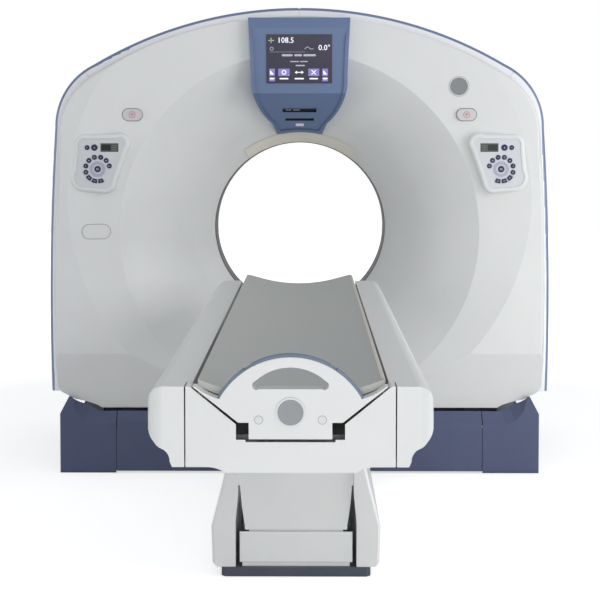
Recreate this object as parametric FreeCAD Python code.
"""Tilting CT scanner: gantry, rotor, base and patient table.

Millimetres. +X right as seen from the foot of the table, +Y from the table into the bore, +Z up.
The origin is on the floor, straight under the crossing of the scan plane and the bore's axis.
"""
import FreeCAD, Part
import math
import os

V = FreeCAD.Vector
ALONG_X = V(1, 0, 0)
ALONG_Y = V(0, 1, 0)
ALONG_Z = V(0, 0, 1)

# ---- clearances and walls -------------------------------------------------------------------
SEAT = 0.3            # gap where a piece seats on another
RUNNING = 0.05        # radial clearance of shafts and bearings
WALL = 6.0            # moulded covers of the gantry
TRIM_WALL = 4.0       # smaller moulded covers

# ---- gantry: driving sizes ------------------------------------------------------------------
ISO_Z = 940.0         # height of the bore's axis and of the tilt axis
BORE_R = 350.0
THROAT_HALF = 72.0    # half length of the straight throat
THROAT_LAP = 12.0     # the covers lap over the scan window by this
THROAT_R = 354.0      # cover funnel at the throat, outside the scan window ring
FACE_Y = 490.0        # front plane of the covers, from the scan plane
BAND_Y = 448.0        # half depth of the band of top and side covers
DISH_Y = 452.0        # rim of the dish
DISH_R = 700.0
BAND_HALF = 973.0
BAND_TOP = 1811.0
BAND_SHOULDER = (BAND_HALF - 173.0, BAND_TOP - 219.0)
BAND_SIDE_TOP = (BAND_HALF - 22.0, 1345.0)
BAND_LOW = (BAND_HALF - 3.0, 318.0)
BAND_SPLIT = (BAND_HALF - 146.0, BAND_TOP - 251.0)   # joint of the top and the side covers
COVER_HALF = BAND_HALF - 27.0
COVER_TOP = BAND_TOP - 35.0
COVER_SHOULDER = (COVER_HALF - 146.0, COVER_TOP - 228.0)
COVER_SIDE_TOP = (COVER_HALF - 17.0, 1340.0)
COVER_SIDE_LOW = (COVER_HALF - 2.0, 336.0)
CRESCENT_R = COVER_HALF - 51.0        # outer circle of the crescent step, inside the covers' edge
CRESCENT_Z = 1074.0
LIP_Z = 249.0         # bottom lip of the covers
LIP_HALF = COVER_HALF - 170.0
LIP_Y = 430.0         # the covers draw back to this at the lip
DRAW_Z = 470.0        # height where the draw-back starts

# ---- tilt frame, towers and rotor -----------------------------------------------------------
PIN_R = 45.0
TOWER_OUT = BAND_HALF - 73.0
TOWER_IN = TOWER_OUT - 70.0
CHEEK_OUT = TOWER_IN - 40.0
CHEEK_IN = CHEEK_OUT - 50.0
TOWER_HALF_Y = 31.0   # waist that the tilting covers pass
SCOOP_R = 830.0       # the base stays outside this radius about the tilt axis
RING_Y0, RING_Y1 = 215.0, 275.0
RING_R_IN, RING_R_OUT = 530.0, 700.0
DRUM_R = 650.0
DRUM_R_IN = 425.0
DRUM_Y0, DRUM_Y1 = 110.0, 150.0
BEARING_R_IN, BEARING_R, BEARING_R_OUT = 475.0, 512.0, 552.0
SLIP_R_IN, SLIP_Y1 = 628.0, 200.0
PULLEY_R = 42.0
PULLEY_X, PULLEY_Z = 590.0, ISO_Z - 492.0
BELT_T = 3.0
BELT_Y0, BELT_Y1 = 118.0, 142.0
FOCUS_R = 541.0       # focal spot above the axis
TUBE_R = 86.0
DETECTOR_LOW = THROAT_R + 54.0        # detector's face below the axis, clear of the throat
DETECTOR_R = FOCUS_R + DETECTOR_LOW   # focal spot to detector
DETECTOR_DEG = 27.5

# ---- controls on the front cover ------------------------------------------------------------
PANEL_X, PANEL_Z = COVER_HALF - 168.0, 1187.0     # centre of the ring of keys
KEY_RING_R, KEY_R, KEY_PITCH_DEG = 47.0, 9.2, 30.0
CENTRE_KEY_R = 12.0
WEDGE_HALF, WEDGE_DEG = 7.5, 11.5      # half depth of a wedge key, and half its angle
POD_RISE_Y = -FACE_Y - 4.0            # front of the control panels' pods
POD_RIM, POD_ROUND = 18.0, 14.0
PORT_TURN = 13.0
DIAL_R = 31.0
WINDOW_X, WINDOW_Z, WINDOW_W, WINDOW_H = PANEL_X - 46.0, PANEL_Z + 83.0, 70.0, 34.0
ROUND_KEYS = ((PANEL_X + 12.0, WINDOW_Z, 12.0), (PANEL_X + 40.0, WINDOW_Z, 9.0))
STOP_X, STOP_Z, STOP_W, STOP_H = PANEL_X - 132.0, 1397.0, 76.0, 46.0
PORT_X, PORT_Z, PORT_W, PORT_H = -PANEL_X - 10.0, 944.0, 106.0, 54.0
KEY_GAP = 0.6
CONSOLE_TOP = 1768.0
CONSOLE_LOW = 1324.0
CONSOLE_OUT = 26.0    # console stands this far out of the front plane
CONSOLE_LEAN = 10.0   # its face leans back by this many degrees
CONSOLE_PLANE_Y = -FACE_Y - CONSOLE_OUT + 4
CONSOLE_KNEE = 1480.0 # height where the face starts to curve into the funnel
CONSOLE_SLOTS = ((135.0, 15.0, 1417.0), (114.0, 10.0, 1382.0))
SCREEN_W, SCREEN_H, SCREEN_Z = 252.0, 188.0, 1610.0

# ---- gantry base ----------------------------------------------------------------------------
BASE_HALF = BAND_HALF - 38.0
BASE_Y = 475.0
BASE_TOP = 200.0      # top edge of the front and rear faces
BASE_SEAM = BASE_HALF - 220.0
BASE_END_TOP = 230.0
HORN_X, HORN_Z = BASE_HALF - 37.0, 300.0
RAMP_SLOPE = 1.29     # steepness of the ledge between the front face and the scoop
RAMP_Y = 425.0        # the ledge ends inside this distance from the scan plane
SEAM_LAP = 20.0       # backing flange behind the seam of the base covers
ANCHOR_X, ANCHOR_Y, ANCHOR_R = TOWER_IN - 50.0, BASE_Y - 75.0, 9.0

# ---- table: driving sizes -------------------------------------------------------------------
NEAR_Y, FAR_Y = -2916.0, -692.0
TABLE_HALF = 304.0
FAR_HALF = 292.0
TAPER_Y = -1395.0
RAIL_TOP = 776.0
RAIL_IN = 210.0       # inner edge of the side covers' flat top
SEAM_X = 223.0
TABLE_LOW = 605.0
NEST_HALF = 262.0     # the pedestal nests between the side covers when the table is down
NEST_Y0, NEST_Y1 = -1945.0, -775.0
CRADLE_CORNER_R = 60.0 # plan radius of the gantry end's corners
CRADLE_HALF = 198.0
CRADLE_EDGE = 785.0
CRADLE_SAG = 38.0
CRADLE_THICK = 22.0
CRADLE_RIM = 13.0     # depth of the cradle's long edges
CAP_DEPTH = 34.0      # thickness of the cradle's end cap
CRADLE_Y0, CRADLE_Y1 = NEAR_Y + CAP_DEPTH + SEAT, -500.0
BEAM_X0, BEAM_X1 = 180.0, 205.0
BEAM_Z0, BEAM_Z1 = 640.0, 742.0
TIE_T = 16.0          # cross ties lie under the channel that the end cap travels in
SLIDE_X, SLIDE_HALF, SLIDE_Z1 = 191.0, 7.0, 750.0
FRONT_DEPTH = 60.0    # depth of the near end's front cover
SHELF_Z = BEAM_Z0     # shelf of the front cover, level with the beams
BEAM_Y0, BEAM_Y1 = NEAR_Y + FRONT_DEPTH + 14, -790.0
CAP_GAP = 7.0         # gap between the end cap and the V of the front cover
WINDOW_IN, WINDOW_LOW = 115.0, 663.0  # small windows beside the end cap's tongue
CARRIAGE_Y0, CARRIAGE_Y1 = -2800.0, -2500.0
ARCH_R, ARCH_Z = 172.0, 666.0         # handle's outer arc and the height of its centre
GRIP_T = 4.0
ROLLER_R, ROLLER_X, ROLLER_Y, ROLLER_HALF = 18.0, 188.0, -745.0, 8.0

# ---- lift -----------------------------------------------------------------------------------
ARM_L = 700.0
ARM_DEG = 42.2        # arm above the horizontal in the pose shown
ARM_FOOT_Y, ARM_FOOT_Z = -1640.0, 95.0
ARM_PITCH = 330.0     # front arm to rear arm
ARM_HALF, ARM_T = 25.0, 18.0
HUB_R, LIFT_PIN_R = 30.0, 15.0
FRONT_ARM_X, REAR_ARM_X = 110.0, 80.0
ACT_LEVER = 300.0     # lever of the lift actuator, equal on the base and on the arm
ACT_DEG = 165.0       # direction from the rear foot pivot to the actuator's foot
ACT_R, ROD_R = 26.0, 14.0
ACT_PIN_R = 10.0
HANGER_X0, HANGER_X1 = 150.0, 166.0

# ---- pedestal -------------------------------------------------------------------------------
FOOT_HALF, FOOT_T = 222.0, 28.0
PED_Y0, PED_Y1 = -1754.0, -800.0
PED_TOP = 330.0
PED_HALF, PED_INNER = 252.0, 180.0

# ---- drawing helpers ------------------------------------------------------------------------


def wire_xz(start, steps):
    """Closed wire in the XZ plane: a step is a point (line) or a via and an end (arc)."""
    edges = []
    here = V(start[0], 0, start[1])
    for step in steps:
        end = V(step[-2], 0, step[-1])
        if len(step) == 2:
            edges.append(Part.makeLine(here, end))
        else:
            edges.append(Part.Arc(here, V(step[0], 0, step[1]), end).toShape())
        here = end
    return Part.Wire(edges)


def slab(wire, y0, y1):
    """A flat outline carried along Y from y0 to y1."""
    face = Part.Face(wire)
    face.translate(V(0, y0, 0))
    return face.extrude(V(0, y1 - y0, 0))


def inset(wire, distance):
    """The outline moved inwards, or outwards where the distance is negative."""
    return Part.Face(wire).makeOffset2D(-distance, 0, False, False).OuterWire


def polygon_yz(points, x0, x1):
    """A prism along X on a polygon of (y, z) points."""
    corners = [V(x0, y, z) for y, z in points]
    return Part.Face(Part.makePolygon(corners + corners[:1])).extrude(V(x1 - x0, 0, 0))


def box(x0, x1, y0, y1, z0, z1):
    return Part.makeBox(x1 - x0, y1 - y0, z1 - z0, V(x0, y0, z0))


def rod_x(r, x0, x1, y, z):
    return Part.makeCylinder(r, x1 - x0, V(x0, y, z), ALONG_X)


def rod_y(r, y0, y1, x, z):
    return Part.makeCylinder(r, y1 - y0, V(x, y0, z), ALONG_Y)


def rod_z(r, z0, z1, x, y):
    return Part.makeCylinder(r, z1 - z0, V(x, y, z0), ALONG_Z)


def ring_y(r_in, r_out, y0, y1, x=0.0, z=ISO_Z):
    return rod_y(r_out, y0, y1, x, z).cut(rod_y(r_in, y0, y1, x, z))


def pill(width, height, y0, y1, x, z):
    """A flat-ended oval with round ends, lying along X."""
    half = (width - height) / 2.0
    r = height / 2.0
    wire = wire_xz((x - half, z + r), [(x + half, z + r), (x + half + r, z, x + half, z - r),
                                       (x - half, z - r), (x - half - r, z, x - half, z + r)])
    return slab(wire, y0, y1)


def revolved(profile, y_sign=1.0):
    """Turn a closed (y, radius) profile about the bore's axis; a step is as in wire_xz."""
    start, steps = profile
    edges = []
    here = V(start[1], y_sign * start[0], ISO_Z)
    for step in steps:
        end = V(step[-1], y_sign * step[-2], ISO_Z)
        if len(step) == 2:
            edges.append(Part.makeLine(here, end))
        else:
            edges.append(Part.Arc(here, V(step[1], y_sign * step[0], ISO_Z), end).toShape())
        here = end
    face = Part.Face(Part.Wire(edges))
    return face.revolve(V(0, 0, ISO_Z), ALONG_Y, 360)


def mirrored(shape):
    return shape.mirror(V(0, 0, 0), ALONG_X)


def fused(shapes):
    return shapes[0].multiFuse(shapes[1:]).removeSplitter() if len(shapes) > 1 else shapes[0]


def edges_where(shape, test):
    return [e for e in shape.Edges if test(e.BoundBox)]


def eased(shape, radius, test):
    """Fillet the edges that pass the test on their bounding box."""
    return shape.makeFillet(radius, edges_where(shape, test))


def at_level(y):
    return lambda b: abs(b.YMin - y) < 0.01 and abs(b.YMax - y) < 0.01


def polar(angle_deg, radius):
    """X and Z of a point about the bore's axis; 0 is +X and 90 is up."""
    a = math.radians(angle_deg)
    return radius * math.cos(a), ISO_Z + radius * math.sin(a)


def sector(r_in, r_out, deg0, deg1, y0, y1):
    """Part of a ring about the bore's axis."""
    mid = (deg0 + deg1) / 2.0
    outer = polar(mid, r_out) + polar(deg1, r_out)
    inner = polar(mid, r_in) + polar(deg0, r_in)
    return slab(wire_xz(polar(deg0, r_out), [outer, polar(deg1, r_in), inner, polar(deg0, r_out)]), y0, y1)


# ---- outlines -------------------------------------------------------------------------------


def cover_outline():
    """Front view of both end covers: domed top, round shoulders, stepped lip at the foot."""
    sx, sz = COVER_SHOULDER
    tx, tz = COVER_SIDE_TOP
    lx, lz = COVER_SIDE_LOW
    foot = [(lx - 12, lz - 22), (lx - 66, lz - 52), (LIP_HALF + 59, lz - 61), (LIP_HALF + 18, LIP_Z + 12)]
    side_z = (tz + lz) / 2 - 100
    steps = [(0, COVER_TOP, sx, sz), (sx + 89, sz - 88, tx, tz), (lx + 6, side_z, lx, lz)] + foot
    steps += [(LIP_HALF, LIP_Z), (-LIP_HALF, LIP_Z)] + [(-x, z) for x, z in foot[::-1]]
    steps += [(-lx, lz), (-lx - 6, side_z, -tx, tz), (-sx - 89, sz - 88, -sx, sz)]
    return wire_xz((-sx, sz), steps)


def band_outline():
    """Front view of the band, which ends above the base on both sides."""
    sx, sz = BAND_SHOULDER
    tx, tz = BAND_SIDE_TOP
    lx, lz = BAND_LOW
    mid_z = (tz + lz) / 2 - 60
    steps = [(0, BAND_TOP, sx, sz), (sx + 112, sz - 102, tx, tz), (BAND_HALF + 1, mid_z, lx, lz),
             (-lx, lz), (-BAND_HALF - 1, mid_z, -tx, tz), (-sx - 112, sz - 102, -sx, sz)]
    return wire_xz((-sx, sz), steps)


def funnel_profile(grow):
    """Half section of the bore's funnel as a solid, grown outwards by the wall."""
    g = grow
    y_from = THROAT_LAP + 3 - THROAT_HALF
    start = (-FACE_Y - 40, 0)
    steps = [(-FACE_Y - 40, DISH_R + 40 + g), (-DISH_Y, DISH_R + g),
             (-330 + 0.6 * g, 545 + 0.8 * g, -190 + 0.5 * g, 436 + 0.85 * g),
             (-131 + 0.4 * g, 393.5 + 0.9 * g, -THROAT_HALF, THROAT_R + g), (y_from, THROAT_R + g),
             (y_from, 0), start]
    return (start, steps)


# ---- gantry covers --------------------------------------------------------------------------


def crescent_solid(grow):
    """Oblique cone between the outer crescent circle and the rim of the dish."""
    run = 0.2         # carried on in front of the cover by this share
    sizes = []
    for share in (-run, 1.0):
        y = -FACE_Y + share * (FACE_Y - DISH_Y) + grow
        z = CRESCENT_Z + share * (ISO_Z - CRESCENT_Z)
        r = CRESCENT_R + share * (DISH_R - CRESCENT_R) + grow
        sizes.append(Part.Wire(Part.makeCircle(r, V(0, y, z), ALONG_Y)))
    return Part.makeLoft(sizes, True, True)


def crescent_y(x, z):
    """Depth of the crescent's sloping face at a point of the front view."""
    fall = CRESCENT_Z - ISO_Z
    shrink = CRESCENT_R - DISH_R
    rel = z - CRESCENT_Z
    a = fall ** 2 - shrink ** 2
    b = 2 * (rel * fall + CRESCENT_R * shrink)
    c = x ** 2 + rel ** 2 - CRESCENT_R ** 2
    share = (-b + math.sqrt(b * b - 4 * a * c)) / (2 * a)
    return -FACE_Y + share * (FACE_Y - DISH_Y)


def draw_back(sign, grow):
    """Wedge that takes the cover's lower front back towards the lip."""
    past = 60.0       # carried on below the lip and in front of the face
    y0, y1 = FACE_Y - grow, LIP_Y - grow
    slope = (FACE_Y - LIP_Y) / (DRAW_Z - LIP_Z)
    points = [(y0, DRAW_Z), (y1 - slope * past, LIP_Z - past), (y0 + past, LIP_Z - past), (y0 + past, DRAW_Z)]
    return polygon_yz([(sign * y, z) for y, z in points], -BAND_HALF - past, BAND_HALF + past)


def dished_cover(sign):
    """Moulded end cover with the funnel; sign -1 is the table side, +1 the rear."""
    outline = cover_outline()
    back = BAND_Y - 23
    funnel_out = DISH_R - 12
    flip = -sign
    face_0, face_1 = sorted((sign * FACE_Y, sign * back))
    body = slab(outline, face_0, face_1)
    body = eased(body, 14, lambda b: at_level(sign * FACE_Y)(b) and b.ZMax > LIP_Z + 90)
    body = body.cut(draw_back(sign, 0))
    tube_0, tube_1 = sorted((sign * (back + 5), sign * (THROAT_HALF - THROAT_LAP)))
    body = body.fuse(rod_y(funnel_out, tube_0, tube_1, 0, ISO_Z))
    hollow_0, hollow_1 = sorted((sign * (FACE_Y - WALL), sign * (back - 5)))
    hollow = slab(inset(outline, WALL), hollow_0, hollow_1).cut(draw_back(sign, WALL))
    hole_0, hole_1 = sorted((sign * back, sign * (THROAT_HALF - THROAT_LAP - 10)))
    hollow = hollow.fuse(rod_y(funnel_out + 10, hole_0, hole_1, 0, ISO_Z))
    mouth = revolved(funnel_profile(0), flip)
    grown = revolved(funnel_profile(WALL), flip)
    if sign < 0:
        mouth = mouth.fuse(crescent_solid(0))
        grown = grown.fuse(crescent_solid(WALL))
    return body.cut(mouth).cut(hollow.cut(grown))


def panel_outline(side, grow):
    """Drop-shaped control panel, wide above, about its ring of keys; side +1 is the right one."""
    points = [(39, 117), (67, 112, 74, 85), (82, -7), (80, -57, 52, -70), (-18, -75),
              (-42, -73, -54, -51), (-101, 83), (-102, 115, -74, 119)]

    def placed(step):
        return tuple(PANEL_Z + v if i % 2 else side * (PANEL_X + v) for i, v in enumerate(step))

    wire = wire_xz(placed(points[-1][2:]), [placed(step) for step in points])
    return inset(wire, -grow) if grow else wire


def panel_face_y():
    """Flat face of the control panels, a little behind the front of their pods."""
    return POD_RISE_Y + 2.5


def panel_pod(side):
    """Rounded pod that carries a control panel; it stands out where the cover falls away."""
    pod = slab(panel_outline(side, POD_RIM), POD_RISE_Y, 26 - DISH_Y)
    return eased(pod, POD_ROUND, at_level(POD_RISE_Y))


def port_turn(shape):
    """Turn a piece drawn square to the front onto the slope of the crescent at the port."""
    turned = shape.copy()
    turned.rotate(V(PORT_X, crescent_y(PORT_X, PORT_Z), PORT_Z), ALONG_Z, PORT_TURN)
    return turned


def controls_openings():
    """Everything that passes through the front cover's skin."""
    deep = -FACE_Y - 20
    back = -DISH_Y + 20
    cuts = [slab(panel_outline(s, SEAT), deep, back) for s in (-1, 1)]
    hole = 2 * KEY_GAP
    cuts += [pill(STOP_W + hole, STOP_H + hole, deep, back, s * STOP_X, STOP_Z) for s in (-1, 1)]
    cuts.append(port_turn(pill(PORT_W + 2 * SEAT, PORT_H + 2 * SEAT, deep, back, PORT_X, PORT_Z)))
    return fused(cuts)


def front_cover():
    return fused([dished_cover(-1), panel_pod(-1), panel_pod(1)]).cut(controls_openings())


def rear_cover():
    return dished_cover(1)


def band():
    """Top and side covers as one ring, with flanges that reach in to both end covers."""
    outline = band_outline()
    ring = slab(outline, -BAND_Y, BAND_Y)
    ring = eased(ring, 16, lambda b: (at_level(BAND_Y)(b) or at_level(-BAND_Y)(b)) and b.ZMax > 400)
    ring = ring.cut(slab(inset(outline, WALL), WALL - BAND_Y, BAND_Y - WALL))
    ring = ring.cut(slab(inset(cover_outline(), -SEAT), -BAND_Y - 10, BAND_Y + 10))
    return ring.cut(box(-900, 900, -BAND_Y, BAND_Y, 240, 400))


def band_pieces():
    """Left and right top covers, left and right side covers."""
    ring = band()
    bx, bz = BAND_SPLIT
    gap = 1.5
    lean = 34.0       # the joint runs square to the outline
    run = 300.0
    dx, dz = run * math.cos(math.radians(90 - lean)), run * math.sin(math.radians(90 - lean))
    above = [(gap * 0.2, 2000), (2 * bx, 2000), (bx + dx, bz + dz), (bx - dx, bz - dz), (gap * 0.2, 1300)]
    wire = wire_xz(above[0], above[1:] + above[:1])
    top_zone = slab(wire, -BAND_Y - 20, BAND_Y + 20)
    below = [(bx - dx, bz - dz - gap), (bx + dx, bz + dz - gap), (1300, 1500), (1300, 200), (600, 200)]
    wire = wire_xz(below[0], below[1:] + below[:1])
    side_zone = slab(wire, -BAND_Y - 20, BAND_Y + 20)
    notch = wire_xz((-12, BAND_TOP + 4), [(12, BAND_TOP + 4), (3, BAND_TOP - 3), (-3, BAND_TOP - 3),
                                          (-12, BAND_TOP + 4)])
    top = ring.common(top_zone).cut(slab(notch, -BAND_Y - 20, BAND_Y + 20))
    side = ring.common(side_zone)
    return top, side


def scan_window():
    return ring_y(BORE_R, THROAT_R - SEAT, -THROAT_HALF + 1, THROAT_HALF - 1)


def localiser_window():
    """Curved window over the top of the throat, lying on the funnel."""
    skin = revolved(funnel_profile(-SEAT)).cut(revolved(funnel_profile(-3.5)))
    span = 36
    zone = sector(300, 392, 90 - span, 90 + span, -170, -THROAT_HALF - 4)
    return skin.common(zone)


# ---- console --------------------------------------------------------------------------------


def console_front(z):
    """Depth of the console's leaning face at a height."""
    return CONSOLE_PLANE_Y + (CONSOLE_TOP - z) * math.tan(math.radians(CONSOLE_LEAN))


def console_zone(step_in):
    """Side profile of the console, carried across; step_in takes the face back."""
    s = step_in
    face = [V(0, console_front(CONSOLE_TOP) + s, CONSOLE_TOP),
            V(0, console_front(CONSOLE_KNEE) + s, CONSOLE_KNEE)]
    curve = Part.Arc(face[1], V(0, -360 + s, 1424), V(0, -160 + s, CONSOLE_LOW)).toShape()
    end = V(0, -90, CONSOLE_LOW)
    top = V(0, -90, CONSOLE_TOP)
    edges = [Part.makeLine(face[0], face[1]), curve, Part.makeLine(V(0, -160 + s, CONSOLE_LOW), end),
             Part.makeLine(end, top), Part.makeLine(top, face[0])]
    profile = Part.Face(Part.Wire(edges))
    profile.translate(V(-250, 0, 0))
    return profile.extrude(V(500, 0, 0))


def shield_outline(grow):
    g = grow
    right = [(192 + g, 1690, 186 + g, 1540), (172 + g, 1452, 110 + g, 1366), (91 + g, CONSOLE_LOW - g)]
    left = [(-110 - g, 1366), (-172 - g, 1452, -186 - g, 1540), (-192 - g, 1690, -196 - g, CONSOLE_TOP + g)]
    steps = [(196 + g, CONSOLE_TOP + g)] + right + [(0, CONSOLE_LOW + 6 - g, -91 - g, CONSOLE_LOW - g)] + left
    return wire_xz((-196 - g, CONSOLE_TOP + g), steps)


def leaning(shape, z):
    """Lay a piece drawn at y 0 and its own height onto the console's leaning face."""
    shape = shape.copy()
    shape.rotate(V(0, 0, z), ALONG_X, CONSOLE_LEAN)
    shape.translate(V(0, console_front(z), 0))
    return shape


def screen_solid(grow, y0, y1):
    w, h = SCREEN_W / 2 + grow, SCREEN_H / 2 + grow
    return leaning(box(-w, w, y0, y1, SCREEN_Z - h, SCREEN_Z + h), SCREEN_Z)


def console_shield():
    """Blue console: raised rim walls round a leaning face that runs down into the funnel."""
    zone = revolved(funnel_profile(-SEAT)).fuse(crescent_solid(-SEAT))
    body = slab(shield_outline(0), -560, -90).common(console_zone(0)).common(zone)
    front = slab(shield_outline(-13), -600, -60).cut(console_zone(7))
    body = body.cut(front)
    body = body.cut(screen_solid(SEAT, 2, 14))
    body = body.cut(sector(300, 392 + SEAT, 53, 127, -200, -60))
    for width, height, z in CONSOLE_SLOTS:
        body = body.cut(box(-width / 2, width / 2, -600, console_slot_floor(z), z - height / 2,
                            z + height / 2))
    return body


def console_slot_floor(z):
    """Floor of a slot, a little behind the console's curved face."""
    share = (z - CONSOLE_LOW) / (CONSOLE_KNEE - CONSOLE_LOW)
    return -160 - share * 250 + 24


def console_screen():
    return screen_solid(0, 4, 13)


# ---- control panels and buttons -------------------------------------------------------------


def key_y():
    """Front of the keys: a little proud of the panel's face."""
    return panel_face_y() - 2.5


def mirrored_angles(side, angles):
    return [a if side > 0 else 180 - a for a in angles]


def wedge_keys(side, grow, y0, y1):
    """Three keys shaped as slices of a ring, below the centre key."""
    keys = []
    lap = WEDGE_DEG + math.degrees(grow / KEY_RING_R)
    for angle in mirrored_angles(side, (255, 285, 315)):
        key = sector(KEY_RING_R - WEDGE_HALF - grow, KEY_RING_R + WEDGE_HALF + grow, angle - lap, angle + lap,
                     y0, y1)
        key.translate(V(side * PANEL_X, 0, PANEL_Z - ISO_Z))
        keys.append(key)
    return keys


def key_holes(side):
    """Key places of one panel as (x, z, radius)."""
    cx = side * PANEL_X
    places = [(cx, PANEL_Z, CENTRE_KEY_R)]
    for angle in mirrored_angles(side, range(-15, 180, int(KEY_PITCH_DEG))):
        a = math.radians(angle)
        places.append((cx + KEY_RING_R * math.cos(a), PANEL_Z + KEY_RING_R * math.sin(a), KEY_R))
    places += [(side * x, z, r) for x, z, r in ROUND_KEYS]
    return places


def control_panel(side):
    """Moulded panel with a dial ring, a window seat and key holes."""
    face = panel_face_y()
    wx = side * WINDOW_X
    body = slab(panel_outline(side, 0), face, face + 30)
    body = body.fuse(ring_y(CENTRE_KEY_R + 6, DIAL_R, face - 1.5, face + 1, side * PANEL_X, PANEL_Z))
    body = body.cut(box(wx - WINDOW_W / 2, wx + WINDOW_W / 2, face - 5, face + 1.5, WINDOW_Z - WINDOW_H / 2,
                        WINDOW_Z + WINDOW_H / 2))
    for x, z, r in key_holes(side):
        body = body.cut(rod_y(r + KEY_GAP, face - 20, face + 20, x, z))
    for hole in wedge_keys(side, KEY_GAP, face - 20, face + 20):
        body = body.cut(hole)
    return body


def key_cap(x, z, r):
    """Turned cap with a broken front edge."""
    cap = rod_y(r, key_y(), panel_face_y() + 14, x, z)
    return cap.makeChamfer(1.0, edges_where(cap, at_level(key_y())))


def ring_keys(side):
    """The fixed keys of one panel: round ones and three wedges."""
    wedges = wedge_keys(side, 0, key_y(), panel_face_y() + 14)
    return fused([key_cap(*place) for place in key_holes(side)[1:]] + wedges)


def stop_button(side):
    """Oval push button in its hole in the front cover."""
    x = side * STOP_X
    y = crescent_y(x, STOP_Z)
    cap = pill(STOP_W, STOP_H, y - 7, y + 26, x, STOP_Z)
    return eased(cap, 3, at_level(y - 7))


def port_plate():
    """Blank plate over the lead port, with a shallow recess."""
    y = crescent_y(PORT_X, PORT_Z)
    plate = pill(PORT_W, PORT_H, y - 1.5, y + 16, PORT_X, PORT_Z)
    return port_turn(plate.cut(pill(PORT_W - 14, PORT_H - 14, y - 6, y - 0.5, PORT_X, PORT_Z)))


# ---- tilt frame and rotor -------------------------------------------------------------------


def tilt_frame():
    """Ring casting behind the rotor with cheeks that run forward to the trunnion pins."""
    frame = ring_y(RING_R_IN, RING_R_OUT, RING_Y0, RING_Y1)
    cheek = polygon_yz([(-70, ISO_Z - 90), (-70, ISO_Z + 90), (RING_Y0, ISO_Z + 210), (RING_Y1, ISO_Z + 210),
                        (RING_Y1, ISO_Z - 210), (RING_Y0, ISO_Z - 210)], CHEEK_IN, CHEEK_OUT)
    cheek = cheek.fuse(box(600, CHEEK_OUT, RING_Y0, RING_Y1, ISO_Z - 210, ISO_Z + 210))
    cheek = cheek.fuse(rod_x(PIN_R + 35, CHEEK_IN - 12, CHEEK_OUT + 12, 0, ISO_Z))
    cheek = cheek.fuse(box(500, 690, RING_Y0 + 10, RING_Y1, ISO_Z - 560, ISO_Z - 420))
    half_zone = slab(inset(band_outline(), WALL + SEAT), -BAND_Y, BAND_Y)
    post = box(240, 320, RING_Y0, RING_Y1, ISO_Z + 600, BAND_TOP)
    stay = post.common(half_zone)
    rest = box(560, BAND_HALF, RING_Y0, RING_Y1, ISO_Z + 280, ISO_Z + 330).common(half_zone)
    cheek = fused([cheek, stay, rest])
    bore = rod_x(PIN_R, CHEEK_IN - 20, CHEEK_OUT + 20, 0, ISO_Z)
    cheek = cheek.cut(bore).cut(rod_y(RING_R_IN, RING_Y0 - 5, RING_Y1 + 5, 0, ISO_Z))
    cheek = cheek.cut(rod_y(DRUM_R + 12, -100, RING_Y0, 0, ISO_Z))
    cheek = cheek.cut(rod_y(12 + RUNNING, RING_Y0 - 5, RING_Y1 + 5, PULLEY_X, PULLEY_Z))
    frame = fused([frame, cheek, mirrored(cheek)])
    for i in range(12):
        x, z = polar(15 + 30 * i, (RING_R_IN + BEARING_R_OUT) / 2 + 4)
        frame = frame.cut(rod_y(9, RING_Y0 + 25, RING_Y1 + 5, x, z))
    return frame


def trunnion_pins():
    """Two stepped pins, keyed in the cheeks and turning in the towers."""
    pin = rod_x(PIN_R, CHEEK_IN - 12, TOWER_OUT + 14, 0, ISO_Z)
    head = rod_x(PIN_R + 14, CHEEK_IN - 24, CHEEK_IN - 12, 0, ISO_Z)
    pin = pin.fuse(head)
    return pin.multiFuse([mirrored(pin)])


def bearing_outer():
    return ring_y(BEARING_R + RUNNING, BEARING_R_OUT, DRUM_Y1 + 4, RING_Y0)


def rotor_drum():
    """Drum plate with a stiffening rim and lightening holes."""
    plate = ring_y(DRUM_R_IN, DRUM_R, DRUM_Y0, DRUM_Y1)
    rim = ring_y(DRUM_R - 14, DRUM_R, DRUM_Y0 - 60, DRUM_Y0)
    drum = plate.fuse(rim)
    for i in range(8):
        x, z = polar(22.5 + 45 * i, 592)
        drum = drum.cut(rod_y(26, DRUM_Y0 - 5, DRUM_Y1 + 5, x, z))
    return drum


def bearing_inner():
    return ring_y(BEARING_R_IN, BEARING_R, DRUM_Y1, RING_Y0 - 2)


def slip_ring():
    ring = ring_y(SLIP_R_IN, DRUM_R - 4, DRUM_Y1, SLIP_Y1)
    for i in range(3):
        y = DRUM_Y1 + 12 + 14 * i
        ring = ring.cut(ring_y(DRUM_R - 8, DRUM_R + 5, y, y + 4))
    return ring


def brush_block():
    """Block on the tilt frame whose brushes reach the slip ring's outside."""
    start = DRUM_R - 4 + SEAT
    block = sector(start + 16, start + 90, 118, 130, DRUM_Y1 + 6, RING_Y0)
    for i in range(4):
        y = DRUM_Y1 + 7 + 13 * i
        if y + 5 < SLIP_Y1:
            block = block.fuse(sector(start, start + 16, 121, 127, y, y + 4))
    return block


def xray_tube():
    """Tube housing on the drum's front, axis along Y, with end caps and an exit port."""
    z = ISO_Z + FOCUS_R + 8
    r = TUBE_R
    body = rod_y(r, -130, DRUM_Y0, 0, z)
    body = body.fuse(rod_y(r - 22, -150, -130, 0, z))
    body = body.fuse(box(-70, 70, -60, 60, z - r - 14, z - r + 30))
    return body.fuse(box(-r, r, -90, 70, z + 20,
                         z + r - 6).common(rod_y(DRUM_R - 16, -140, DRUM_Y0, 0, ISO_Z)))


def collimator():
    z = ISO_Z + FOCUS_R + 8 - TUBE_R - 20
    body = box(-100, 100, -70, DRUM_Y0, z - 36, z)
    return body.cut(box(-60, 60, -20, 20, z - 60, z + 5))


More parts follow.
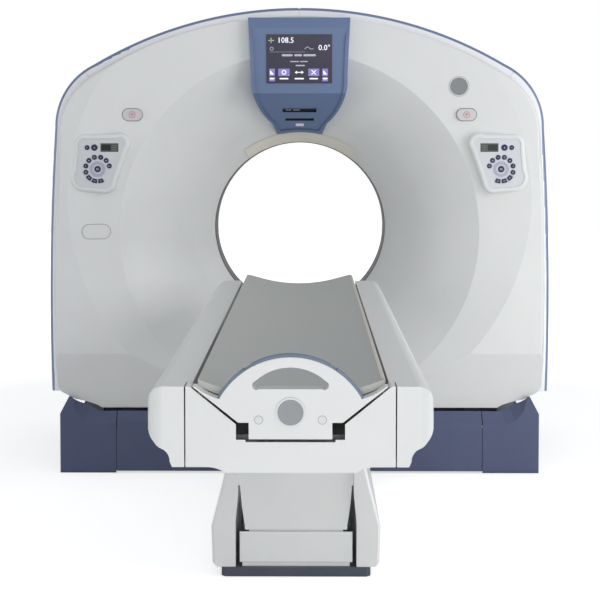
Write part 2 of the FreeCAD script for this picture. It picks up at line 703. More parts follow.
def detector():
    """Curved detector centred on the focal spot, with its rear carrier."""
    focus = ISO_Z + FOCUS_R
    half = math.radians(DETECTOR_DEG)

    def arc_points(radius):
        return [(radius * math.sin(a), focus - radius * math.cos(a)) for a in (-half, 0, half)]

    inner, outer = arc_points(DETECTOR_R), arc_points(DETECTOR_R + 86)
    steps = [inner[1] + inner[2], outer[2], outer[1] + outer[0], inner[0]]
    body = slab(wire_xz(inner[0], steps), -60, DRUM_Y0)
    cover = arc_points(DETECTOR_R + 12)
    return body.fuse(slab(wire_xz(cover[0], [cover[1] + cover[2], outer[2], outer[1] + outer[0], cover[0]]),
                          -90, -60))


def generator():
    """High-voltage supply beside the tube."""
    body = sector(440, DRUM_R - 18, -8, 44, -110, DRUM_Y0)
    for i in range(6):
        body = body.cut(sector(DRUM_R - 36, DRUM_R, -4 + 8 * i, 0 + 8 * i, -140, -20))
    return body


def tube_cooler():
    body = sector(440, DRUM_R - 18, 136, 188, -110, DRUM_Y0)
    for i in range(6):
        body = body.cut(sector(DRUM_R - 60, DRUM_R, 140 + 8 * i, 143 + 8 * i, -140, 40))
    return body


def belt_loop(grow):
    """Open belt run round the drum and the motor pulley, as an outline."""
    dx, dz = PULLEY_X, PULLEY_Z - ISO_Z
    far = math.hypot(dx, dz)
    aim = math.atan2(dz, dx)
    wrap = math.acos((DRUM_R - PULLEY_R) / far)
    big, small = DRUM_R + SEAT + grow, PULLEY_R + SEAT + grow

    def on(radius, angle, cx, cz):
        return (cx + radius * math.cos(angle), cz + radius * math.sin(angle))

    a0, a1 = aim + wrap, aim - wrap
    steps = [on(big, aim + math.pi, 0, ISO_Z) + on(big, a1, 0, ISO_Z), on(small, a1, PULLEY_X, PULLEY_Z),
             on(small, aim, PULLEY_X, PULLEY_Z) + on(small, a0, PULLEY_X, PULLEY_Z), on(big, a0, 0, ISO_Z)]
    return wire_xz(on(big, a0, 0, ISO_Z), steps)


def drive_belt():
    return slab(belt_loop(BELT_T), BELT_Y0, BELT_Y1).cut(slab(belt_loop(0), BELT_Y0 - 2, BELT_Y1 + 2))


def drive_pulley():
    wheel = rod_y(PULLEY_R, BELT_Y0 - 2, BELT_Y1 + 2, PULLEY_X, PULLEY_Z)
    return wheel.fuse(rod_y(12, BELT_Y1 + 2, RING_Y0 + 30, PULLEY_X, PULLEY_Z))


def drive_motor():
    """Motor on the rear of the tilt frame's lower bracket, its shaft hole open to the pulley."""
    body = rod_y(52, RING_Y1, RING_Y1 + 120, PULLEY_X, PULLEY_Z)
    for i in range(6):
        body = body.cut(ring_y(48, 60, RING_Y1 + 20 + 14 * i, RING_Y1 + 26 + 14 * i, PULLEY_X, PULLEY_Z))
    return body


# ---- gantry base ----------------------------------------------------------------------------


def scoop(radius, x0=-1100, x1=1100):
    """Space that the tilting gantry sweeps about the tilt axis."""
    return rod_x(radius, x0, x1, 0, ISO_Z)


def tower():
    """Right tower: saddle beam, waisted post and bearing housing."""
    beam = box(TOWER_IN - 15, TOWER_OUT + 15, -BASE_Y + 35, BASE_Y - 35, 20, 250).cut(scoop(SCOOP_R))
    post = polygon_yz([(-TOWER_HALF_Y, 60), (-TOWER_HALF_Y, 230), (-95, ISO_Z - 190), (-95, ISO_Z + 20),
                       (95, ISO_Z + 20), (95, ISO_Z - 190), (TOWER_HALF_Y, 230), (TOWER_HALF_Y, 60)],
                      TOWER_IN, TOWER_OUT)
    housing = rod_x(110, TOWER_IN, TOWER_OUT, 0, ISO_Z)
    window = polygon_yz([(-55, ISO_Z - 230), (55, ISO_Z - 230), (25, 330), (-25, 330)], TOWER_IN + 14,
                        TOWER_OUT + 5)
    body = fused([beam, post, housing]).cut(window)
    return body.cut(rod_x(PIN_R + RUNNING, TOWER_IN - 20, TOWER_OUT + 20, 0, ISO_Z))


def gantry_base_frame():
    """Welded floor frame with two towers and levelling feet."""
    right = tower()
    floor = box(-TOWER_OUT, TOWER_OUT, -BASE_Y + 35, -BASE_Y + 115, 20, 60)
    floor = floor.fuse(box(-TOWER_OUT, TOWER_OUT, BASE_Y - 115, BASE_Y - 35, 20, 60))
    floor = floor.fuse(box(-60, 60, -BASE_Y + 35, BASE_Y - 35, 20, 60))
    link = box(-FOOT_HALF + 40, FOOT_HALF - 40, -BASE_Y - 85, -BASE_Y + 60, 0, FOOT_T)
    feet = [rod_z(38, 0, 20, sx * ANCHOR_X, sy * ANCHOR_Y) for sx in (-1, 1) for sy in (-1, 1)]
    frame = fused([floor, right, mirrored(right), link] + feet)
    for sx in (-1, 1):
        for sy in (-1, 1):
            frame = frame.cut(rod_z(ANCHOR_R, -5, 300, sx * ANCHOR_X, sy * ANCHOR_Y))
    return frame


def swing(grow):
    """Space that the tilting covers sweep: wide under the lip, less deep towards the sides."""
    rows = [(0, SCOOP_R), (LIP_HALF + 2, SCOOP_R), (COVER_HALF - 111, SCOOP_R - 24),
            (COVER_HALF - 64, SCOOP_R - 31),
            (COVER_HALF - 40, SCOOP_R - 46), (BAND_HALF + 60, SCOOP_R - 48)]
    edge = [V(x, 0, ISO_Z - r - grow) for x, r in rows]
    corners = [V(0, 0, ISO_Z)] + edge + [V(BAND_HALF + 60, 0, ISO_Z)]
    half = Part.Face(Part.makePolygon(corners + corners[:1])).revolve(V(0, 0, ISO_Z), ALONG_X, 360)
    return half.fuse(mirrored(half))


def ledge(sign, grow):
    """Wedge cut from the base's upper edge, steeper and higher towards the horn."""
    g = grow
    x1, top = HORN_X - 8 + g, HORN_Z + 120
    near = [(-x1, top), (-x1, HORN_Z), (18 - x1, 238 - g), (48 - x1, 206 - g), (84 - x1, BASE_TOP - 8 - g),
            (-BASE_SEAM, BASE_TOP - g), (BASE_SEAM, BASE_TOP - g), (x1 - 84, BASE_TOP - 8 - g),
            (x1 - 48, 206 - g),
            (x1 - 18, 238 - g), (x1, HORN_Z), (x1, top)]
    rise = RAMP_SLOPE * (BASE_Y + 1 - RAMP_Y)
    wires = []
    for y, up, squeeze in ((BASE_Y + 1, -RAMP_SLOPE, 0), (RAMP_Y, rise, 26)):
        row = [V(x - math.copysign(squeeze, x), sign * y, min(z + up, top) if z < HORN_Z else z) for x,
               z in near]
        wires.append(Part.makePolygon(row + row[:1]))
    return Part.makeLoft(wires, True, True)


def base_end_solid(shrink):
    """The end cover as a block, shrunk by a wall where it is the hollow."""
    g = shrink
    low = -5 if g else 0
    half, seam = BASE_HALF - g, BASE_SEAM - 10 * bool(g)
    wire = wire_xz((seam, low), [(half, low), (half, BASE_END_TOP - g / 2), (HORN_X, HORN_Z - g),
                                 (seam, HORN_Z - g),
                                 (seam, low)])
    block = slab(wire, -BASE_Y + g, BASE_Y - g)
    if not g:
        block = eased(block, 10, lambda b: (abs(b.XMin - BASE_HALF) < 0.1 and abs(b.XMax - BASE_HALF) < 0.1
                                            and b.ZMax - b.ZMin > 100))
    return block.cut(swing(g)).cut(ledge(-1, 1.6 * g)).cut(ledge(1, 1.6 * g))


def base_end_cover(side):
    """Moulded end cover of the base: walls and a scooped skin that the tower passes through."""
    shell = base_end_solid(0).cut(base_end_solid(TRIM_WALL))
    room = TOWER_HALF_Y + 14
    shell = shell.cut(box(TOWER_IN - 16, TOWER_OUT + 17, -room, room, 60, HORN_Z + 50))
    for y in (-BASE_Y, BASE_Y):
        shell = shell.cut(box(BASE_SEAM - 5, BASE_HALF + 5, y - 3, y + 3, -1, 8))
    for y in (-320, 320):
        shell = shell.fuse(box(TOWER_OUT + 15, BASE_HALF - 2, y - 20, y + 20, 40, 44))
    return shell if side > 0 else mirrored(shell)


def trough_edge():
    """Where the panels' ledge meets the scoop, as (distance from the scan plane, height)."""
    k = RAMP_SLOPE
    rise = BASE_TOP - ISO_Z + k * BASE_Y
    a, b, c = 1 + k * k, -2 * k * rise, rise * rise - SCOOP_R ** 2
    y = (-b + math.sqrt(b * b - 4 * a * c)) / (2 * a)
    return y, BASE_TOP + k * (BASE_Y - y)


def base_trough():
    """Skin between the end covers that the tilting gantry swings over."""
    half = BASE_SEAM - 3.0
    edge = trough_edge()[0] - SEAT
    skin = scoop(SCOOP_R + TRIM_WALL, -half, half).cut(scoop(SCOOP_R, -half - 5, half + 5))
    skin = skin.common(box(-half, half, -edge, edge, 60, ISO_Z))
    ribs = [box(x - 4, x + 4, -200, 200, 60 + SEAT, 200).cut(scoop(SCOOP_R + 2)) for x in (-30, 30)]
    return fused([skin] + ribs)


def base_long_panel(sign):
    """Front or rear panel of the base between the end covers, with a ledge that leans in to the trough."""
    half = BASE_SEAM - 3.0
    inner = BASE_Y - TRIM_WALL
    y1, z1 = trough_edge()
    section = [(BASE_Y, 8), (BASE_Y, BASE_TOP), (y1, z1), (y1, z1 - 6), (inner, BASE_TOP - 8), (inner, 8)]
    panel = polygon_yz([(sign * y, z) for y, z in section], -half, half)
    y0, y1 = sorted((sign * (inner + 1), sign * (inner - 30)))
    ribs = [box(x - 3, x + 3, y0, y1, 60, BASE_TOP - 12) for x in (-560, -300, 300, 560)]
    tabs = [box(x - 30, x + 30, y0, y1, 20, 24) for x in (-600, -400, 400, 600)]
    parts = [panel] + ribs + tabs
    for s in (-1, 1):
        x0, x1 = sorted((s * (half - 14), s * (BASE_SEAM + SEAM_LAP)))
        y0, y1 = sorted((sign * (inner - SEAT), sign * (inner - SEAT - TRIM_WALL)))
        parts.append(box(x0, x1, y0, y1, 8, BASE_TOP - 20))
        x0, x1 = sorted((s * (half - 14), s * (half - 4)))
        y0, y1 = sorted((sign * (inner + 1), sign * (inner - 2)))
        parts.append(box(x0, x1, y0, y1, 8, BASE_TOP - 20))
    panel = fused(parts)
    if sign < 0:
        panel = panel.cut(box(-FOOT_HALF + 39, FOOT_HALF - 39, -BASE_Y - 5, -BASE_Y + 70, -5, FOOT_T + 1))
    return panel


def tilt_gear_unit():
    """Gear unit on the left tower, round the trunnion pin's end."""
    ring = rod_x(85, -TOWER_OUT - 40, -TOWER_OUT, 0, ISO_Z)
    hole = rod_x(PIN_R + SEAT, -TOWER_OUT - 16, -TOWER_OUT + 5, 0, ISO_Z)
    motor = rod_z(28, ISO_Z + 60, ISO_Z + 190, -TOWER_OUT - 30, 0)
    return ring.cut(hole).fuse(motor.common(box(-BAND_HALF + 26, -TOWER_OUT, -60, 60, 0, 2000)))


# ---- table covers ---------------------------------------------------------------------------


def side_section(shrink):
    """Front view of the right side cover: flat rail on top, stepped curve below."""
    t = shrink
    h = TABLE_HALF - t
    steps = [(264, RAIL_TOP - t), (290, RAIL_TOP - 8 - t, h - 2, RAIL_TOP - 28), (h, 703),
             (h - 3, 674, h - 15, 657 + t / 2), (h - 24, 648 + t, h - 34, 643 + t),
             (h - 44, 634 + t, h - 49, 617 + t),
             (h - 54, TABLE_LOW + t), (SEAM_X + 1.5 + t, TABLE_LOW + t),
             (SEAM_X + 1.5 + t, RAIL_TOP - 60 + t),
             (RAIL_IN + t, RAIL_TOP - 60 + t), (RAIL_IN + t, RAIL_TOP - t)]
    return wire_xz((RAIL_IN + t, RAIL_TOP - t), steps)


def plan_mask(shrink):
    """Plan outline of the right side cover, rounded at the near end and tapered to the gantry."""
    t = shrink
    r = 34.0
    h, y0, y1 = TABLE_HALF - t, NEAR_Y + t, FAR_Y - t
    far_half = FAR_HALF - t
    corner = V(h - r * 0.293, y0 + r * 0.293, 0)
    edges = [Part.makeLine(V(0, y0, 0), V(h - r, y0, 0)),
             Part.Arc(V(h - r, y0, 0), corner, V(h, y0 + r, 0)).toShape(),
             Part.makeLine(V(h, y0 + r, 0), V(h, TAPER_Y, 0)),
             Part.makeLine(V(h, TAPER_Y, 0), V(far_half, y1 - 40, 0)),
             Part.Arc(V(far_half, y1 - 40, 0), V(far_half - 9, y1 - 12, 0),
                      V(far_half - 36, y1, 0)).toShape(),
             Part.makeLine(V(far_half - 36, y1, 0), V(0, y1, 0)), Part.makeLine(V(0, y1, 0), V(0, y0, 0))]
    mask = Part.Face(Part.Wire(edges))
    mask.translate(V(0, 0, 400))
    return mask.extrude(V(0, 0, 500))


def side_cover():
    """Right side cover: long open-bottomed shell, tapered and rounded at the gantry end."""
    t = TRIM_WALL
    body = slab(side_section(0), NEAR_Y, FAR_Y).common(plan_mask(0))
    body = body.cut(slab(side_section(t), NEAR_Y, FAR_Y).common(plan_mask(t)))
    body = body.cut(box(0, SEAM_X + 1.5, NEAR_Y - 5, NEAR_Y + FRONT_DEPTH + 1, 500, 900))
    body = body.cut(box(0, NEST_HALF, NEST_Y0, NEST_Y1, 500, RAIL_TOP - 62))
    body = body.cut(box(0, NEST_HALF, NEST_Y1 - 1, FAR_Y + 1, 500, RAIL_TOP - 62))
    tie = box(BEAM_X1, RAIL_IN + 2, 0, 60, BEAM_Z1 - 20, BEAM_Z1 - 12)
    for y in (-2700, -2300, -1100, -900):
        tab = tie.copy()
        tab.translate(V(0, y, 0))
        body = body.fuse(tab)
    return body


def vee_wire(grow):
    """Outline of the cradle's end cap below the handle; the front cover's cut follows it."""
    g = grow
    steps = [(206 + g, RAIL_TOP), (110 + 0.6 * g, 700 - 0.7 * g), (88 + g, 700 - g), (88 + g, 665 - g),
             (-88 - g, 665 - g), (-88 - g, 700 - g), (-110 - 0.6 * g, 700 - 0.7 * g), (-206 - g, RAIL_TOP)]
    return wire_xz((-206 - g, RAIL_TOP), steps)


def table_front_cover():
    """Middle panel of the near end with the V cut and two windows beside the tongue."""
    half = SEAM_X - 1.5
    wire = wire_xz((-half, RAIL_TOP), [(half, RAIL_TOP), (half, TABLE_LOW), (172, TABLE_LOW),
                                       (160, TABLE_LOW - 2, 137, TABLE_LOW - 12), (-137, TABLE_LOW - 12),
                                       (-160, TABLE_LOW - 2, -172, TABLE_LOW), (-half, TABLE_LOW),
                                       (-half, RAIL_TOP)])
    body = slab(wire, NEAR_Y, NEAR_Y + FRONT_DEPTH)
    back = slab(inset(wire, TRIM_WALL), NEAR_Y + TRIM_WALL, NEAR_Y + FRONT_DEPTH + 5)
    body = body.cut(back)
    cut = slab(vee_wire(CAP_GAP), NEAR_Y - 5, NEAR_Y + FRONT_DEPTH + 5)
    above = box(-206 - CAP_GAP, 206 + CAP_GAP, NEAR_Y - 5, NEAR_Y + FRONT_DEPTH + 5, RAIL_TOP - 0.1, 900)
    body = body.cut(cut).cut(above)
    for s in (-1, 1):
        x0, x1 = sorted((s * 80, s * WINDOW_IN))
        body = body.cut(box(x0, x1, NEAR_Y - 5, NEAR_Y + FRONT_DEPTH + 5, WINDOW_LOW, 702))
        x0, x1 = sorted((s * (SEAM_X - 60), s * (SEAM_X - 8)))
        body = body.fuse(box(x0, x1, NEAR_Y + TRIM_WALL, NEAR_Y + FRONT_DEPTH, SHELF_Z, SHELF_Z + 6))
    shelf = box(-190, 190, NEAR_Y + TRIM_WALL, BEAM_Y0, SHELF_Z, SHELF_Z + 6)
    return body.fuse(shelf)


def belly_cover():
    """Underside pan of the overhanging near end."""
    width = SEAM_X - 1.5
    y0 = NEAR_Y + FRONT_DEPTH + 2
    pan = box(-width, width, y0, NEST_Y0, TABLE_LOW, TABLE_LOW + 60)
    pan = pan.cut(box(-width + TRIM_WALL, width - TRIM_WALL, y0 + TRIM_WALL, NEST_Y0 - TRIM_WALL,
                      TABLE_LOW + TRIM_WALL, 800))
    pan = pan.cut(box(-192, 192, y0 - 1, y0 + TRIM_WALL + 1, 638, 700))
    pan = pan.cut(box(-BEAM_X1 - 2, BEAM_X1 + 2, NEST_Y0 - TRIM_WALL - 1, NEST_Y0 + 1, BEAM_Z0 - 2, 700))
    posts = [box(s * 192 - 10, s * 192 + 10, y - 12, y + 12, TABLE_LOW + 2, BEAM_Z0)
             for s in (-1, 1) for y in (-2700, -2100)]
    return fused([pan] + posts)


def table_frame():
    """Two beams joined under the cradle's channel, slide rails, and hangers for the lift arms."""
    parts = []
    pins = [upper_pin_y(0), upper_pin_y(1)]
    for s in (-1, 1):
        x0, x1 = sorted((s * BEAM_X0, s * BEAM_X1))
        parts.append(box(x0, x1, BEAM_Y0, BEAM_Y1, BEAM_Z0, BEAM_Z1))
        parts.append(box(s * SLIDE_X - SLIDE_HALF, s * SLIDE_X + SLIDE_HALF, BEAM_Y0 + 10, BEAM_Y1 - 20,
                         BEAM_Z1, SLIDE_Z1))
        for dx in (ROLLER_HALF + 3, -ROLLER_HALF - 8):
            x0 = s * ROLLER_X + dx
            parts.append(box(x0, x0 + 5, BEAM_Y1 - 20, ROLLER_Y + 16, roller_z() - 20, roller_z() + 10))
        x0, x1 = sorted((s * (ROLLER_X - ROLLER_HALF - 8), s * (BEAM_X0 + 5)))
        parts.append(box(x0, x1, BEAM_Y1 - 20, BEAM_Y1, roller_z() - 20, BEAM_Z1 - 4))
        x0, x1 = sorted((s * HANGER_X0, s * HANGER_X1))
        for y, ahead in zip(pins, (90, 34)):
            plate = [(y - 90, BEAM_Z0 + 5), (y + ahead, BEAM_Z0 + 5), (y + 30, upper_pin_z() - 34),
                     (y - 34, upper_pin_z() - 34)]
            parts.append(polygon_yz(plate, x0, x1))
    ties = [(-2830, -2770), (-2200, -2140), (-1620, -1560)]
    ties += [(y - 90, y + ahead) for y, ahead in zip(pins, (90, 34))]
    parts += [box(-BEAM_X1, BEAM_X1, y0, y1, BEAM_Z0, BEAM_Z0 + TIE_T) for y0, y1 in ties]
    parts += [rod_x(LIFT_PIN_R, -HANGER_X1 - 2, HANGER_X1 + 2, y, upper_pin_z()) for y in pins]
    frame = fused(parts)
    for s in (-1, 1):
        frame = frame.cut(rod_x(6 + RUNNING, s * ROLLER_X - 30, s * ROLLER_X + 30, ROLLER_Y, roller_z()))
    return frame


def upper_pin_y(i):
    return ARM_FOOT_Y + i * ARM_PITCH + ARM_L * math.cos(math.radians(ARM_DEG))


def upper_pin_z():
    return ARM_FOOT_Z + ARM_L * math.sin(math.radians(ARM_DEG))


# ---- cradle ---------------------------------------------------------------------------------


def cradle_bottom(x):
    """Underside height of the cradle across its width."""
    low = CRADLE_EDGE - CRADLE_SAG - CRADLE_THICK
    rise = CRADLE_EDGE - CRADLE_RIM - low
    r = (CRADLE_HALF ** 2 + rise ** 2) / (2 * rise)
    return low + r - math.sqrt(r * r - x * x)


def roller_z():
    """Height of the rollers' axles, from the underside that they carry."""
    return cradle_bottom(ROLLER_X - ROLLER_HALF) - SEAT - ROLLER_R


def cradle_section(grow):
    """Cross section of the cradle: sagging top, deeper in the middle."""
    g = grow
    h = CRADLE_HALF
    low = CRADLE_EDGE - CRADLE_SAG - CRADLE_THICK - g
    return wire_xz((-h, CRADLE_EDGE), [(0, CRADLE_EDGE - CRADLE_SAG, h, CRADLE_EDGE),
                                       (h, CRADLE_EDGE - CRADLE_RIM - g),
                                       (0, low, -h, CRADLE_EDGE - CRADLE_RIM - g), (-h, CRADLE_EDGE)])


def cradle():
    """Long carbon-fibre cradle with a rounded gantry end."""
    body = slab(cradle_section(0), CRADLE_Y0, CRADLE_Y1)
    x_c, y_c = CRADLE_HALF - CRADLE_CORNER_R + 1, CRADLE_Y1 - CRADLE_CORNER_R + 1
    for s in (-1, 1):
        x0, x1 = sorted((s * x_c, s * (CRADLE_HALF + 5)))
        block = box(x0, x1, y_c, CRADLE_Y1 + 5, 650, 900)
        body = body.cut(block.cut(rod_z(CRADLE_CORNER_R, 640, 910, s * x_c, y_c)))
    return body


def cradle_carriage():
    """Carriage under the cradle's near end, with a foot on each slide rail."""
    y0, y1 = CARRIAGE_Y0, CARRIAGE_Y1
    feet = [box(s * SLIDE_X - SLIDE_HALF, s * SLIDE_X + SLIDE_HALF, y0, y1, SLIDE_Z1 + SEAT, 790)
            for s in (-1, 1)]
    bridge = box(-SLIDE_X, SLIDE_X, y0 + 60, y1 - 60, 712, 790)
    channel = wire_xz((-250, SLIDE_Z1 + SEAT), [(-164, SLIDE_Z1 + SEAT), (-120, 712), (-120, 600),
                                                (-250, 600),
                                                (-250, SLIDE_Z1 + SEAT)])
    flank = slab(channel, y0 - 5, y1 + 5)
    body = fused(feet + [bridge]).cut(flank).cut(mirrored(flank))
    return body.cut(slab(cradle_section(0), y0 - 20, y1 + 20)).cut(slab(above_cradle(), y0 - 20, y1 + 20))


def above_cradle():
    """Everything above the cradle's top surface, as an outline."""
    h = CRADLE_HALF
    return wire_xz((-h, 900), [(h, 900), (h, CRADLE_EDGE), (0, CRADLE_EDGE - CRADLE_SAG, -h, CRADLE_EDGE),
                               (-h, 900)])


def cradle_roller(s):
    half = ROLLER_HALF
    roller = rod_x(ROLLER_R, s * ROLLER_X - half, s * ROLLER_X + half, ROLLER_Y, roller_z())
    return roller.fuse(rod_x(6, s * ROLLER_X - half - 7, s * ROLLER_X + half + 7, ROLLER_Y, roller_z()))


def arch_outline(radius):
    """Round-topped outline of the handle above the cap."""
    low = 742.0
    half = math.sqrt(radius ** 2 - (low - ARCH_Z) ** 2)
    return wire_xz((-half, low), [(0, ARCH_Z + radius, half, low), (-half, low)])


def cradle_end_cap():
    """End cap in the front cover's V with its arched handle."""
    plate = slab(vee_wire(0), NEAR_Y - 3, NEAR_Y + CAP_DEPTH)
    trim = wire_xz((-200, RAIL_TOP), [(-178, 761, -150, 750), (150, 750), (178, 761, 200, RAIL_TOP),
                                      (206, 800),
                                      (-206, 800), (-200, RAIL_TOP)])
    plate = plate.cut(slab(trim, NEAR_Y - 10, NEAR_Y + CAP_DEPTH + 5))
    arch = slab(arch_outline(ARCH_R), NEAR_Y - 3, NEAR_Y + CAP_DEPTH)
    body = plate.fuse(arch)
    hole = wire_xz((-66, 771), [(66, 771), (80, 775, 74, 788), (0, 817, -74, 788), (-80, 775, -66, 771)])
    return body.cut(slab(hole, NEAR_Y - 20, NEAR_Y + CAP_DEPTH + 10))


def handle_grip():
    """Grip strip over the handle's outside, with two small notches."""
    outer = slab(arch_outline(ARCH_R + GRIP_T), NEAR_Y + 3, NEAR_Y + CAP_DEPTH)
    strip = outer.cut(slab(arch_outline(ARCH_R), NEAR_Y, NEAR_Y + CAP_DEPTH + 5))
    strip = strip.cut(box(-400, 400, NEAR_Y - 5, NEAR_Y + 60, 700, 752))
    for s in (-1, 1):
        notch = box(s * 92 - 7, s * 92 + 7, NEAR_Y, NEAR_Y + CAP_DEPTH + 5, 700, 1000)
        strip = strip.cut(notch.cut(slab(arch_outline(ARCH_R + 2), NEAR_Y - 5, NEAR_Y + 60)))
    return strip


# ---- lift -----------------------------------------------------------------------------------


def arm_point(foot_y, along):
    """Point along an arm in the pose shown, as (y, z)."""
    a = math.radians(ARM_DEG)
    return foot_y + along * math.cos(a), ARM_FOOT_Z + along * math.sin(a)


def lift_arm(foot_y, centre_x):
    """Welded arm: two plates with hubs at both ends."""
    a = math.radians(ARM_DEG)
    ny, nz = -ARM_HALF * math.sin(a), ARM_HALF * math.cos(a)
    y0, z0 = arm_point(foot_y, 0)
    y1, z1 = arm_point(foot_y, ARM_L)
    corners = [(y0 + ny, z0 + nz), (y1 + ny, z1 + nz), (y1 - ny, z1 - nz), (y0 - ny, z0 - nz)]
    shapes = []
    for s in (-1, 1):
        xa, xb = sorted((s * (centre_x - ARM_T / 2), s * (centre_x + ARM_T / 2)))
        shapes.append(polygon_yz(corners, xa, xb))
        shapes += [rod_x(HUB_R, xa, xb, y, z) for y, z in ((y0, z0), (y1, z1))]
    return shapes


def bored(shape, foot_y):
    for along in (0, ARM_L):
        y, z = arm_point(foot_y, along)
        shape = shape.cut(rod_x(LIFT_PIN_R + RUNNING, -200, 200, y, z))
    return shape


def lift_arm_front():
    shapes = lift_arm(ARM_FOOT_Y, FRONT_ARM_X)
    y, z = arm_point(ARM_FOOT_Y, 600)
    shapes.append(rod_x(18, -FRONT_ARM_X, FRONT_ARM_X, y, z))
    return bored(fused(shapes), ARM_FOOT_Y)


def lift_arm_rear():
    """Rear arm with the pin that the actuator's rod works on."""
    foot = ARM_FOOT_Y + ARM_PITCH
    y, z = arm_point(foot, ACT_LEVER)
    shapes = lift_arm(foot, REAR_ARM_X) + [rod_x(ACT_PIN_R, -REAR_ARM_X, REAR_ARM_X, y, z)]
    return bored(fused(shapes), foot)


def actuator_foot():
    a = math.radians(ACT_DEG)
    return ARM_FOOT_Y + ARM_PITCH + ACT_LEVER * math.cos(a), ARM_FOOT_Z + ACT_LEVER * math.sin(a)


def along_actuator(r, start, length):
    """Cylinder on the line from the actuator's foot to its pin on the rear arm."""
    fy, fz = actuator_foot()
    py, pz = arm_point(ARM_FOOT_Y + ARM_PITCH, ACT_LEVER)
    far = math.hypot(py - fy, pz - fz)
    uy, uz = (py - fy) / far, (pz - fz) / far
    return Part.makeCylinder(r, length, V(0, fy + start * uy, fz + start * uz), V(0, uy, uz)), far


CYLINDER_L, ROD_L = 370.0, 300.0


def actuator_cylinder():
    fy, fz = actuator_foot()
    tube, far = along_actuator(ACT_R, 18, CYLINDER_L - 18)
    bore, far = along_actuator(ROD_R + RUNNING, 40, CYLINDER_L)
    eye = rod_x(20, -24, 24, fy, fz)
    return fused([tube, eye]).cut(bore).cut(rod_x(ACT_PIN_R + RUNNING, -40, 40, fy, fz))


def actuator_rod():
    py, pz = arm_point(ARM_FOOT_Y + ARM_PITCH, ACT_LEVER)
    far = along_actuator(1, 0, 1)[1]
    rod = along_actuator(ROD_R, far - ROD_L, ROD_L - 12)[0]
    eye = rod_x(20, -18, 18, py, pz)
    return fused([rod, eye]).cut(rod_x(ACT_PIN_R + RUNNING, -40, 40, py, pz))


# ---- pedestal -------------------------------------------------------------------------------


def table_foot_plate():
    """Cast foot plate that runs from the pedestal to the gantry base."""
    front = PED_Y0
    wire = [V(-FOOT_HALF, front + 12, 0), V(-FOOT_HALF + 12, front, 0), V(FOOT_HALF - 12, front, 0),
            V(FOOT_HALF, front + 12, 0), V(FOOT_HALF, PED_Y1, 0), V(FOOT_HALF - 40, PED_Y1 + 60, 0),
            V(FOOT_HALF - 40, -BASE_Y - 85, 0), V(-FOOT_HALF + 40, -BASE_Y - 85, 0),
            V(-FOOT_HALF + 40, PED_Y1 + 60, 0), V(-FOOT_HALF, PED_Y1, 0)]
    plate = Part.Face(Part.makePolygon(wire + wire[:1])).extrude(V(0, 0, FOOT_T))
    return plate


TABLE_ANCHOR_X, TABLE_ANCHOR_R = 120.0, 7.0
TABLE_ANCHOR_Y0, TABLE_ANCHOR_Y1 = -1700.0, -860.0


def table_base_frame():
    """Foot plate with the brackets and pins of the arms and the actuator."""
    base = box(-HANGER_X1, HANGER_X1, PED_Y0 + 90, PED_Y1 - 40, FOOT_T, FOOT_T + 12)
    shapes = [base]
    for s in (-1, 1):
        x0, x1 = sorted((s * HANGER_X0, s * HANGER_X1))
        for i in (0, 1):
            y = ARM_FOOT_Y + i * ARM_PITCH
            shapes.append(polygon_yz([(y - 60 if i else y - 24, FOOT_T + 6), (y + 60, FOOT_T + 6),
                                      (y + 24, ARM_FOOT_Z + 30), (y - 24, ARM_FOOT_Z + 30)], x0, x1))
        fy, fz = actuator_foot()
        x0, x1 = sorted((s * 28, s * 42))
        shapes.append(polygon_yz([(fy - 28, FOOT_T + 6), (fy + 60, FOOT_T + 6), (fy + 18, fz + 22),
                                  (fy - 18, fz + 22)], x0, x1))
    shapes += [rod_x(LIFT_PIN_R, -HANGER_X1 - 2, HANGER_X1 + 2, ARM_FOOT_Y + i * ARM_PITCH, ARM_FOOT_Z)
               for i in (0, 1)]
    frame = fused(shapes + [rod_x(ACT_PIN_R, -42, 42, fy, fz), table_foot_plate()])
    for sx in (-1, 1):
        for y in (TABLE_ANCHOR_Y0, TABLE_ANCHOR_Y1):
            frame = frame.cut(rod_z(TABLE_ANCHOR_R, -5, FOOT_T + 20, sx * TABLE_ANCHOR_X, y))
    return frame


def pedestal_side(side):
    """Leaning side cover of the pedestal, open at its rear."""
    h, inner = PED_HALF, PED_INNER
    z0 = FOOT_T + SEAT
    wire = wire_xz((inner, z0), [(h - 16, z0), (h - 3, z0 + 13), (h - 3, 60), (h, 150), (h - 25, 246),
                                 (207, PED_TOP), (172, PED_TOP), (172, 246), (inner, 160), (inner, z0)])
    body = slab(wire, PED_Y0 + 3, PED_Y1)
    body = body.makeChamfer(7, edges_where(body, lambda b: at_level(PED_Y0 + 3)(b) and b.XMin > inner + 20
                                           and b.ZMax > 45))
    body = body.cut(slab(inset(wire, TRIM_WALL), PED_Y0 + 3 + TRIM_WALL, PED_Y1 + 5))
    return body if side > 0 else mirrored(body)


def pedestal_lower_panel():
    y = PED_Y0 + 8
    panel = box(-168, 168, y, y + 5, 40, 132)
    panel = panel.makeFillet(3, edges_where(panel, at_level(y)))
    stand = [box(s * 140 - 12, s * 140 + 12, y + 4, PED_Y0 + 90, FOOT_T + SEAT, FOOT_T + 20) for s in (-1, 1)]
    web = box(-160, 160, y + 4, y + 12, FOOT_T + SEAT, 60)
    return fused([panel, web] + stand)


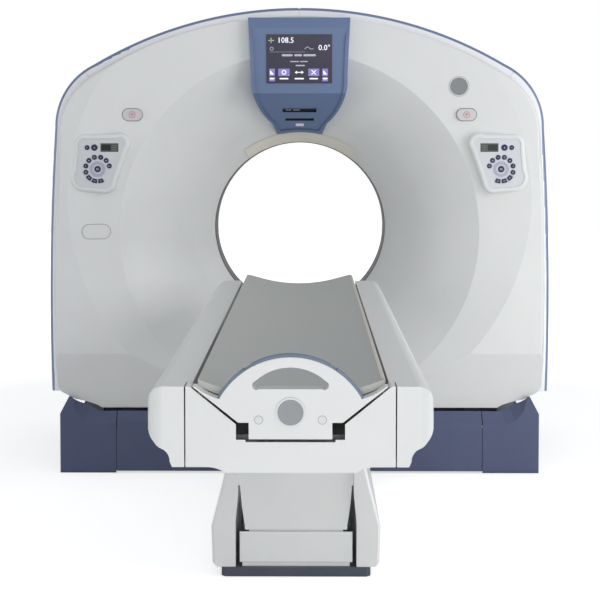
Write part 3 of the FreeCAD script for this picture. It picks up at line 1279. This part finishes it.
def pedestal_upper_panel():
    """Upper middle panel: narrower at its foot, with flanges back to the side covers."""
    y = PED_Y0 + 14
    wire = wire_xz((-145, 137), [(145, 137), (151, 138, 152, 146), (160, 200, 166, 262), (166, PED_TOP),
                                 (-166, PED_TOP), (-166, 262), (-160, 200, -152, 146),
                                 (-151, 138, -145, 137)])
    panel = slab(wire, y, y + 5)
    flanges = [box(*sorted((s * 162, s * (172 - SEAT))), y, y + 40, 270, PED_TOP - 4) for s in (-1, 1)]
    foot = box(-140, 140, y + 4, y + 9, 100, 145)
    return fused([panel, foot] + flanges)


# ---- node list ------------------------------------------------------------------------------


def gantry_nodes():
    top, side = band_pieces()
    nodes = {
        "gantry_base_frame": gantry_base_frame(), "base_cover_left": base_end_cover(-1),
        "base_cover_right": base_end_cover(1), "base_trough": base_trough(),
        "base_panels": base_long_panel(-1).multiFuse([base_long_panel(1)]),
        "tilt_gear_unit": tilt_gear_unit(), "tilt_frame": tilt_frame(), "trunnion_pins": trunnion_pins(),
        "front_cover": front_cover(), "rear_cover": rear_cover(), "top_cover_right": top,
        "top_cover_left": mirrored(top), "side_cover_right": side, "side_cover_left": mirrored(side),
        "scan_window": scan_window(), "localiser_window": localiser_window(),
        "console_shield": console_shield(), "console_screen": console_screen(), "port_plate": port_plate(),
        "bearing_outer": bearing_outer(), "bearing_inner": bearing_inner(), "rotor_drum": rotor_drum(),
        "slip_ring": slip_ring(), "brush_block": brush_block(), "xray_tube": xray_tube(),
        "collimator": collimator(), "detector": detector(), "generator": generator(),
        "tube_cooler": tube_cooler(), "drive_belt": drive_belt(), "drive_pulley": drive_pulley(),
        "drive_motor": drive_motor(),
    }
    return nodes


def control_nodes():
    nodes = {}
    for side, word in ((-1, "left"), (1, "right")):
        nodes["control_panel_" + word] = control_panel(side)
        nodes["ring_keys_" + word] = ring_keys(side)
        nodes["centre_key_" + word] = key_cap(*key_holes(side)[0])
        nodes["stop_button_" + word] = stop_button(side)
    return nodes


def table_nodes():
    cover = side_cover()
    pedestal = pedestal_side(1)
    return {
        "table_base_frame": table_base_frame(),
        "pedestal_side_right": pedestal, "pedestal_side_left": mirrored(pedestal),
        "pedestal_lower_panel": pedestal_lower_panel(), "pedestal_upper_panel": pedestal_upper_panel(),
        "lift_arm_front": lift_arm_front(), "lift_arm_rear": lift_arm_rear(),
        "actuator_cylinder": actuator_cylinder(), "actuator_rod": actuator_rod(),
        "table_frame": table_frame(), "table_side_right": cover, "table_side_left": mirrored(cover),
        "table_front_cover": table_front_cover(), "belly_cover": belly_cover(), "cradle": cradle(),
        "cradle_carriage": cradle_carriage(), "cradle_end_cap": cradle_end_cap(),
        "handle_grip": handle_grip(), "roller_right": cradle_roller(1), "roller_left": cradle_roller(-1),
    }


def main():
    os.makedirs("parts", exist_ok=True)
    nodes = gantry_nodes()
    nodes.update(control_nodes())
    nodes.update(table_nodes())
    for name, shape in nodes.items():
        print(name, shape.isValid(), len(shape.Solids), round(shape.Volume / 1e6, 3))
        shape.exportStep("parts/" + name + ".step")
    print(len(nodes), "nodes")


main()
